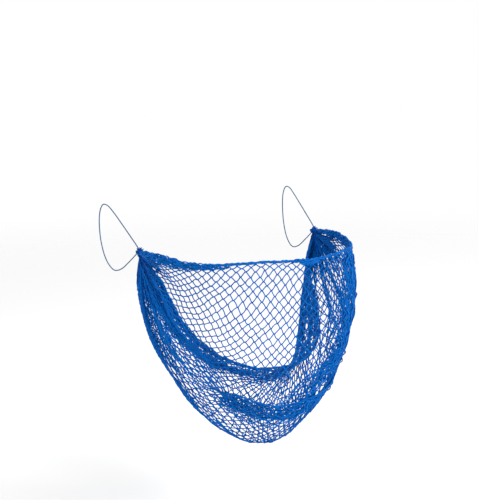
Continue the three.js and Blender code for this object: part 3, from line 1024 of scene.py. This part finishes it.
# Slack net that is drawn into a close pleat. Each spot of its middle line is u, v and half its
# width; strands is how many yarns run along it, weaving across one another as in a shut net, and
# they begin before the share begin of its length and end after the share end.
Pleat = namedtuple("Pleat", "strands begin end line")
SLACK_PLEATS = (
    # Under the chin.
    Pleat(18, 0.15, 0.88, (
        (-0.42, 0.50, 4.0), (-0.28, 0.505, 8.5), (-0.15, 0.51, 11.0), (-0.02, 0.495, 11.0),
        (0.06, 0.445, 8.5), (0.14, 0.39, 6.0), (0.24, 0.36, 4.5))),
    # Up the left cheek.
    Pleat(30, 0.45, 0.99, (
        (0.04, 0.44, 4.0), (0.12, 0.40, 6.0), (0.22, 0.365, 8.0), (0.31, 0.31, 10.5),
        (0.365, 0.20, 13.0), (0.38, 0.10, 12.5), (0.40, 0.01, 11.0))),
    # Along the lower edge.
    Pleat(22, 0.12, 0.88, (
        (-0.90, 0.97, 1.4), (-0.72, 0.97, 2.6), (-0.55, 0.965, 4.0), (-0.40, 0.965, 4.2),
        (-0.25, 0.97, 3.0), (-0.10, 0.98, 1.5))),
    # Along the bottom fold.
    Pleat(9, 0.06, 0.88, (
        (-0.90, 0.875, 3.5), (-0.78, 0.865, 4.5), (-0.65, 0.835, 3.6), (-0.50, 0.765, 1.8),
        (-0.38, 0.72, 1.0), (-0.25, 0.69, 0.8), (-0.05, 0.69, 0.7))),
    # At the upper edge.
    Pleat(6, 0.12, 0.88, (
        (-0.01, 0.0, 0.5), (0.05, 0.002, 1.2), (0.11, 0.0, 0.5))),
)
PLEATS_SEED = 61
LINE_STEPS = 24

# The range of a random phase, nearly a full turn.
ANY_PHASE = (0, 6)

# The spacing of a strand's points, and how it crosses the strands beside it: the length of a
# weave, how far it swings, and how that varies.
PLEAT_SPACING = 1.2
PLEAT_WEAVE = 8.0
PLEAT_SWING = 1.5
SWING_SHARE = 0.5
SWING_RANGE = (0.8, 1.2)
WEAVE_STRAY = 0.3

# How far a strand strays from its place across the pleat, in strands, and how much closer the
# strands lie in the middle.
STRAND_STRAY = 0.6
PLEAT_CROWDING = 0.3

# How deep a pleat is, the half width from which it is so deep, and how a strand heaves: how far,
# and the length in which the angle of that wave grows by one.
PLEAT_DEPTH = 1.0
DEEP_FROM = 4
HEAVE = 0.5
HEAVE_LENGTH = 3.1
PLEAT_SHADE = (-0.22, 0.26)

# A slow wave along a strand: its size, the length in which its angle grows by one, and how much
# that angle differs across the pleat.
Wave = namedtuple("Wave", "size length spread")
STRAND_DRIFT = Wave(0.12, 14, 3)
WEAVE_DRIFT = Wave(0.8, 17, 2)

# Loops of yarn that stand off the bag's left side, where its slack is drawn up: the line that
# they lie along, as u and v, and the parts of it that they are on.
LOOSE_LINE = ((0.49, 0.12), (0.49, 0.22), (0.44, 0.29), (0.36, 0.37), (0.31, 0.44), (0.26, 0.52),
              (0.20, 0.58))
LOOSE_PARTS = ((0.10, 0.24), (0.46, 0.58), (0.64, 0.74))

# How many are on each part, their points, length and height, the range of that height, how deep
# they are rooted, how blunt they are, how far they lean, and their shades.
LOOSE_LOOPS = 8
LOOSE_POINTS = 11
LOOSE_LENGTH = (3.5, 7)
LOOSE_HEIGHT = 0.9
LOOSE_RANGE = (0.5, 1)
LOOSE_ROOT = 0.6
LOOSE_ROUND = 0.8
LOOSE_LEAN = 0.5
LOOSE_SHADE = (-0.2, 0.05)


def measured_line(line):
    """The points of a smooth line on the net, and the length from its start to each."""
    spots = spline(np.array(line), LINE_STEPS)
    return spots, lengths_along(smooth_surface(spots[:, 0], spots[:, 1]))


def wave_along(wave, at, reach):
    return wave.size * np.sin(at / wave.length + wave.spread * reach)


def pleat_strand(pleat, number, source):
    """One yarn of a slack pleat: it wanders a little and weaves across the yarns beside it."""
    spots, length = measured_line(pleat.line)
    begin, end = source.uniform(0, pleat.begin), source.uniform(pleat.end, 1)
    at = np.arange(begin * length[-1], end * length[-1], PLEAT_SPACING)
    u, v, half = [np.interp(at, length, column) for column in spots.T]

    across_u, across_v = surface_slopes(u, v)
    along = unit(np.gradient(smooth_surface(u, v), axis=0))
    sideways = np.cross(unit(np.cross(across_v, across_u)), along)
    square = np.cross(across_u, across_v)
    size = (square**2).sum(1)
    step_u = (np.cross(sideways, across_v) * square).sum(1) / size
    step_v = (np.cross(across_u, sideways) * square).sum(1) / size

    reach = (2 * number + 1 + source.normal(0, STRAND_STRAY)) / pleat.strands - 1
    reach = reach * abs(reach) ** PLEAT_CROWDING
    turn = at * 2 * math.pi / PLEAT_WEAVE + math.pi * (number % 2)
    turn = turn + wave_along(WEAVE_DRIFT, at, reach) + source.normal(0, WEAVE_STRAY)
    swing = np.minimum(half * SWING_SHARE, PLEAT_SWING) * source.uniform(*SWING_RANGE)
    middle = half * np.clip(reach + wave_along(STRAND_DRIFT, at, reach), -1, 1)
    offset = middle + swing * np.sin(turn)
    depth = source.uniform(-1, 1) + HEAVE * np.sin(at / HEAVE_LENGTH + source.uniform(*ANY_PHASE))
    depth = depth * PLEAT_DEPTH * np.minimum(half / DEEP_FROM, 1)
    u = np.clip(u + step_u * offset, -YARN_END, YARN_END)
    v = np.clip(v + step_v * offset, 0, 1)
    _, _, lift = folded(u, v)
    return place_on_net(u, v, lift + depth)


def loose_loop(start, length, height, source):
    """A loop of yarn that leaves the net at start, a share of LOOSE_LINE, and comes back to it."""
    line, along = measured_line(LOOSE_LINE)
    t = np.linspace(0, 1, LOOSE_POINTS)
    u, v = [np.interp(start * along[-1] + t * length, along, column) for column in line.T]
    _, _, lift = folded(u, v)
    rise = (height + LOOSE_ROOT) * np.sin(math.pi * t) ** LOOSE_ROUND
    points = place_on_net(u, v, lift - LOOSE_ROOT + rise)
    return points + source.normal(0, LOOSE_LEAN, 3) * np.sin(math.pi * t)[:, None]


class BEARDCOVER_OT_slack(bpy.types.Operator):
    """Add the close pleats that the bag's slack net is drawn into"""

    bl_idname = "beard_cover.slack"
    bl_label = "Slack Pleats"

    def execute(self, context):
        yarn_radius = context.scene.beard_cover_sizes.yarn_diameter / MM / 2
        source = np.random.default_rng(PLEATS_SEED)
        yarns = Yarns(NET_SIDES)
        for pleat in SLACK_PLEATS:
            for number in range(pleat.strands):
                strand = pleat_strand(pleat, number, source)
                yarns.add(strand, yarn_radius, source.uniform(*PLEAT_SHADE))
        for low, high in LOOSE_PARTS:
            for _ in range(LOOSE_LOOPS):
                start, length = source.uniform(low, high), source.uniform(*LOOSE_LENGTH)
                height = LOOSE_HEIGHT * source.uniform(*LOOSE_RANGE)
                loop = loose_loop(start, length, height, source)
                yarns.add(loop, yarn_radius, source.uniform(*LOOSE_SHADE))
        piece = yarns.piece("slack_pleats", net_material())
        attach(piece, "root")
        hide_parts("net_pouch")
        return {"FINISHED"}


# The two bunched edges: v, half sizes, the u that they end at and the seed of their strands.
Edge = namedtuple("Edge", "name v bunches end seed")
EDGES = (
    Edge("upper", 0, UPPER_EDGE, 0.987, 41),
    Edge("lower", 1, LOWER_EDGE, 0.963, 43),
)

# This many of an edge's strands run from knot to knot. The others sink into the net at a random
# u, as deep as EDGE_SINK below the bunch.
WHOLE_STRANDS = 8
EDGE_POINTS = 360
EDGE_STOPS = (0.30, 0.66)
EDGE_SINK = 1.2
SINK_POWER = 3

# How far the bunch lies beyond the net's last row, and the least room for strands in it.
EDGE_CLEAR = 0.2
EDGE_ROOM = 0.2

# How a strand turns round in the bunch: the length of a turn, its unevenness, and the zigzag
# that the net's rows leave in it.
EDGE_TURN = (14, 26)
EDGE_WOBBLE = 0.5
WOBBLE_LENGTH = (1.2, 2.5)
ZIGZAG = 0.3
ZIGZAG_LENGTH = 5.2
EDGE_THICKNESS = (0.9, 1.1)
EDGE_SHADE = (-0.12, 0.1)


def edge_place(u, edge):
    """The middle of a bunched edge, its directions away and through, and its half sizes."""
    inward = PROBE * (1 - 2 * edge.v)
    at = np.abs(u) / edge.end
    across = table_value(edge.bunches, "at", "across", at)
    deep = table_value(edge.bunches, "at", "deep", at)
    level = np.full_like(u, edge.v)
    _, _, lift = folded(u, level)
    along = unit(smooth_surface(u + PROBE, level) - smooth_surface(u - PROBE, level))
    away = smooth_surface(u, level) - smooth_surface(u, level + inward)
    away = unit(away - along * (away * along).sum(1, keepdims=True))
    place = place_on_net(u, level, lift) + away * (across + EDGE_CLEAR)[:, None]
    return place, away, np.cross(along, away), across, deep


class BEARDCOVER_OT_edges(bpy.types.Operator):
    """Add the upper and lower edges, where the net's last rows are bunched on a drawn thread"""

    bl_idname = "beard_cover.edges"
    bl_label = "Bunched Edges"

    def execute(self, context):
        sizes = context.scene.beard_cover_sizes
        yarn_radius = sizes.yarn_diameter / MM / 2
        for edge, strands in zip(EDGES, (sizes.upper_strands, sizes.lower_strands)):
            source = np.random.default_rng(edge.seed)
            yarns = Yarns(THREAD_SIDES)
            for strand in range(strands):
                points = self.edge_strand(edge, strand, yarn_radius, source)
                radius = yarn_radius * source.uniform(*EDGE_THICKNESS)
                yarns.add(points, radius, source.uniform(*EDGE_SHADE))
            name = edge.name
            piece = yarns.piece(f"{name}_edge_bunch", net_material())
            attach(piece, "root")
            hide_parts(f"{name}_rim")
        return {"FINISHED"}

    def edge_strand(self, edge, strand, yarn_radius, source):
        """One yarn of a bunched edge, winding about inside the bunch."""
        whole = strand < WHOLE_STRANDS
        if whole:
            u = np.linspace(-edge.end, edge.end, EDGE_POINTS)
        else:
            side = -1 if strand % 2 else 1
            u = side * np.linspace(edge.end, source.uniform(*EDGE_STOPS), EDGE_POINTS // 2)
        place, away, through, across, deep = edge_place(u, edge)
        length = lengths_along(place)
        reach = math.sqrt(source.uniform(0, 1))
        turn = source.uniform(0, 2 * math.pi)
        turn = turn + source.choice([-1, 1]) * length * 2 * math.pi / source.uniform(*EDGE_TURN)
        wobble = np.sin(length / source.uniform(*WOBBLE_LENGTH) + source.uniform(*ANY_PHASE))
        turn = turn + EDGE_WOBBLE * wobble
        zigzag = np.sin(length * 2 * math.pi / ZIGZAG_LENGTH + source.uniform(*ANY_PHASE))
        room_across = np.maximum(across - yarn_radius, EDGE_ROOM)
        room_deep = np.maximum(deep - yarn_radius, EDGE_ROOM)
        points = place + away * (room_across * reach * np.cos(turn) + ZIGZAG * zigzag)[:, None]
        points = points + through * (room_deep * reach * np.sin(turn))[:, None]
        if not whole:
            sink = np.linspace(0, 1, len(u)) ** SINK_POWER
            points = points - away * (sink * (across + EDGE_SINK))[:, None]
        return points


# ---- Tufts ---------------------------------------------------------------------------------

TUFT_SEED = 51

# The knot is a trefoil of bunched yarns: its reach, and how far it sits inwards of the packed
# knot's middle and below it.
TUFT_RADIUS = 1.9
TREFOIL_REACH = 3
TUFT_INWARD = 0.5
TUFT_DROP = 1.1
TUFT_POINTS = 120

# Its strands: how many, how far they lie from the trefoil's line, how they wind round it, and
# their shades. These are all darker than the net's, a painted shade of the tight knot that
# differs a little from strand to strand.
TUFT_STRANDS = 15
BUNCH_RADIUS = 0.75
STRAND_ANGLE = 2.4
BUNCH_TURNS = 3
TUFT_PAINTED_SHADE = (-0.25, -0.05)

# Its cut ends: how many, their points, lengths and lean, how far they begin from the middle, and
# their shades. These are darker than the net's, a painted shade of the tuft that differs a
# little from end to end.
TUFT_ENDS = 44
END_POINTS = 7
END_LENGTH = (1.4, 2.8)
END_LEAN = 0.3
END_BEND = 0.3
END_STRAY = 0.8
END_PAINTED_SHADE = (-0.3, -0.1)


class BEARDCOVER_OT_tufts(bpy.types.Operator):
    """Add the tied tuft at each gather: an overhand knot of bunched net with cut ends"""

    bl_idname = "beard_cover.tufts"
    bl_label = "Tied Tufts"

    def execute(self, context):
        yarn_radius = context.scene.beard_cover_sizes.yarn_diameter / MM / 2
        turn = np.linspace(0, 2 * math.pi, TUFT_POINTS + 1)[:-1]
        knot = np.stack([
            np.sin(turn) + 2 * np.sin(2 * turn),
            -np.sin(3 * turn),
            np.cos(turn) - 2 * np.cos(2 * turn),
        ], 1) * (TUFT_RADIUS / TREFOIL_REACH)
        normals = unit(knot)
        closed = np.concatenate([knot, knot[:2]])
        sides = unit(np.cross(np.gradient(closed, axis=0)[:-2], normals))
        for name, side in SIDES:
            source = np.random.default_rng(TUFT_SEED)
            middle = knot_middle(side) - [TUFT_INWARD * side, 0, TUFT_DROP]
            yarns = Yarns(THREAD_SIDES)
            for strand in range(TUFT_STRANDS):
                reach = BUNCH_RADIUS * math.sqrt((strand + 0.5) / TUFT_STRANDS)
                twist = STRAND_ANGLE * strand + BUNCH_TURNS * turn
                offset = np.cos(twist)[:, None] * normals + np.sin(twist)[:, None] * sides
                start = source.integers(0, TUFT_POINTS)
                points = np.roll(knot + reach * offset, -start, axis=0)
                points = points * [side, 1, 1] + middle
                # Darker than the net: painted shade of the tight knot.
                yarns.add(points, yarn_radius, source.uniform(*TUFT_PAINTED_SHADE))
            for _ in range(TUFT_ENDS):
                way = unit(np.array([source.normal(0, END_LEAN), source.normal(0, END_LEAN), 1.0]))
                length = source.uniform(*END_LENGTH)
                bend = source.normal(0, END_BEND, 3)
                t = np.linspace(0, 1, END_POINTS)[:, None]
                points = middle + source.normal(0, END_STRAY, 3) + way * t * length + bend * t**2
                # Darker than the net: painted shade of the tuft.
                yarns.add(points, yarn_radius, source.uniform(*END_PAINTED_SHADE))
            piece = yarns.piece(f"{name}_tuft", net_material())
            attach(piece, "root")
            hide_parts(f"{name}_knot")
        return {"FINISHED"}


# ---- Stage ---------------------------------------------------------------------------------

FLOOR_Z = -0.19
FLOOR_SIDE = 3.2
FLOOR_FADE = 0.35
FLOOR_ROUGHNESS = 0.85
FLOOR_SPECULAR = 0.1
FLOOR_SHADE = 0.985
FLOOR_MOTTLE = 3.0

# How bright the air is as a light, and as it is seen behind the cover.
AIR_LIGHT = 0.6
AIR_SEEN = 1.0

Lamp = namedtuple("Lamp", "name place size power")
LAMPS = (
    Lamp("key light", (0.9, -1.3, 0.9), 0.8, 26),
    Lamp("fill light", (-1.3, -0.8, 0.3), 1.2, 7),
    Lamp("top light", (0.1, 0.2, 1.6), 1.4, 8),
)
LAMP_AIM = Vector((0, -0.05, -0.06))


def floor_material():
    """A pale matt floor that fades into the white air round it."""
    material = bpy.data.materials.new("studio floor")
    material.use_nodes = True
    nodes, links = material.node_tree.nodes, material.node_tree.links
    shader = nodes["Principled BSDF"]
    shader.inputs["Roughness"].default_value = FLOOR_ROUGHNESS
    shader.inputs["Specular IOR Level"].default_value = FLOOR_SPECULAR
    tone = nodes.new("ShaderNodeMix")
    tone.data_type = "RGBA"
    floor = bpy.context.scene.beard_cover_colours.floor
    tone.inputs[MIX_FIRST].default_value = (*[FLOOR_SHADE * c for c in floor], 1)
    tone.inputs[MIX_SECOND].default_value = (*floor, 1)
    links.new(object_noise(material.node_tree, FLOOR_MOTTLE), tone.inputs["Factor"])
    links.new(tone.outputs[MIX_RESULT], shader.inputs["Base Color"])
    place = nodes.new("ShaderNodeTexCoord")
    distance = nodes.new("ShaderNodeVectorMath")
    distance.operation = "LENGTH"
    links.new(place.outputs["Object"], distance.inputs[0])
    fade = nodes.new("ShaderNodeMapRange")
    fade.interpolation_type = "SMOOTHSTEP"
    for name, value in (("From Min", FLOOR_FADE), ("From Max", FLOOR_SIDE / 2),
                        ("To Min", 1.0), ("To Max", 0.0)):
        fade.inputs[name].default_value = value
    links.new(distance.outputs["Value"], fade.inputs["Value"])
    links.new(fade.outputs["Result"], shader.inputs["Alpha"])
    return material


class BEARDCOVER_OT_stage(bpy.types.Operator):
    """Add the pale studio floor, the white air round it and soft lights"""

    bl_idname = "beard_cover.stage"
    bl_label = "Stage"

    def execute(self, context):
        self.add_floor(context)
        for lamp in LAMPS:
            data = bpy.data.lights.new(lamp.name, "AREA")
            data.shape = "DISK"
            data.size = lamp.size
            data.energy = lamp.power
            light = bpy.data.objects.new(lamp.name, data)
            light.location = lamp.place
            aim = LAMP_AIM - Vector(lamp.place)
            light.rotation_euler = aim.to_track_quat("-Z", "Y").to_euler()
            context.scene.collection.objects.link(light)
        world = bpy.data.worlds.new("studio air")
        world.use_nodes = True
        nodes, links = world.node_tree.nodes, world.node_tree.links
        air = nodes["Background"]
        air.inputs["Color"].default_value = (1, 1, 1, 1)
        seen = nodes.new("ShaderNodeLightPath")
        strength = nodes.new("ShaderNodeMapRange")
        strength.inputs["To Min"].default_value = AIR_LIGHT
        strength.inputs["To Max"].default_value = AIR_SEEN
        links.new(seen.outputs["Is Camera Ray"], strength.inputs["Value"])
        links.new(strength.outputs["Result"], air.inputs["Strength"])
        context.scene.world = world
        context.scene.view_settings.view_transform = "Standard"
        return {"FINISHED"}

    def add_floor(self, context):
        bpy.ops.object.select_all(action="DESELECT")
        bpy.ops.mesh.primitive_plane_add(size=FLOOR_SIDE, location=(0, 0, FLOOR_Z))
        floor = context.object
        floor.name = "studio_floor"
        bpy.ops.object.transform_apply(location=True)
        floor.data.materials.append(floor_material())


# ---- Panel, registration and the build -----------------------------------------------------

OPERATORS = (
    BEARDCOVER_OT_camera,
    BEARDCOVER_OT_ear_loops,
    BEARDCOVER_OT_net,
    BEARDCOVER_OT_slack,
    BEARDCOVER_OT_edges,
    BEARDCOVER_OT_tufts,
    BEARDCOVER_OT_stage,
)


class BEARDCOVER_PT_panel(bpy.types.Panel):
    """Sizes, colours and steps of the beard cover"""

    bl_idname = "BEARDCOVER_PT_panel"
    bl_label = "Beard Cover"
    bl_space_type = "VIEW_3D"
    bl_region_type = "UI"
    bl_category = "Beard Cover"

    def draw(self, context):
        for group in (context.scene.beard_cover_sizes, context.scene.beard_cover_colours):
            column = self.layout.column(align=True)
            for name in group.__annotations__:
                column.prop(group, name)
        column = self.layout.column(align=True)
        for operator in OPERATORS:
            column.operator(operator.bl_idname)


CLASSES = (BeardCoverSizes, BeardCoverColours, *OPERATORS, BEARDCOVER_PT_panel)


def register():
    for cls in CLASSES:
        bpy.utils.register_class(cls)
    bpy.types.Scene.beard_cover_sizes = bpy.props.PointerProperty(type=BeardCoverSizes)
    bpy.types.Scene.beard_cover_colours = bpy.props.PointerProperty(type=BeardCoverColours)


def unregister():
    del bpy.types.Scene.beard_cover_colours
    del bpy.types.Scene.beard_cover_sizes
    for cls in reversed(CLASSES):
        bpy.utils.unregister_class(cls)


def main():
    register()
    bpy.ops.beard_cover.camera()
    bpy.ops.beard_cover.ear_loops()
    bpy.ops.beard_cover.net()
    bpy.ops.beard_cover.slack()
    bpy.ops.beard_cover.edges()
    bpy.ops.beard_cover.tufts()
    bpy.ops.beard_cover.stage()


if __name__ == "__main__":
    main()
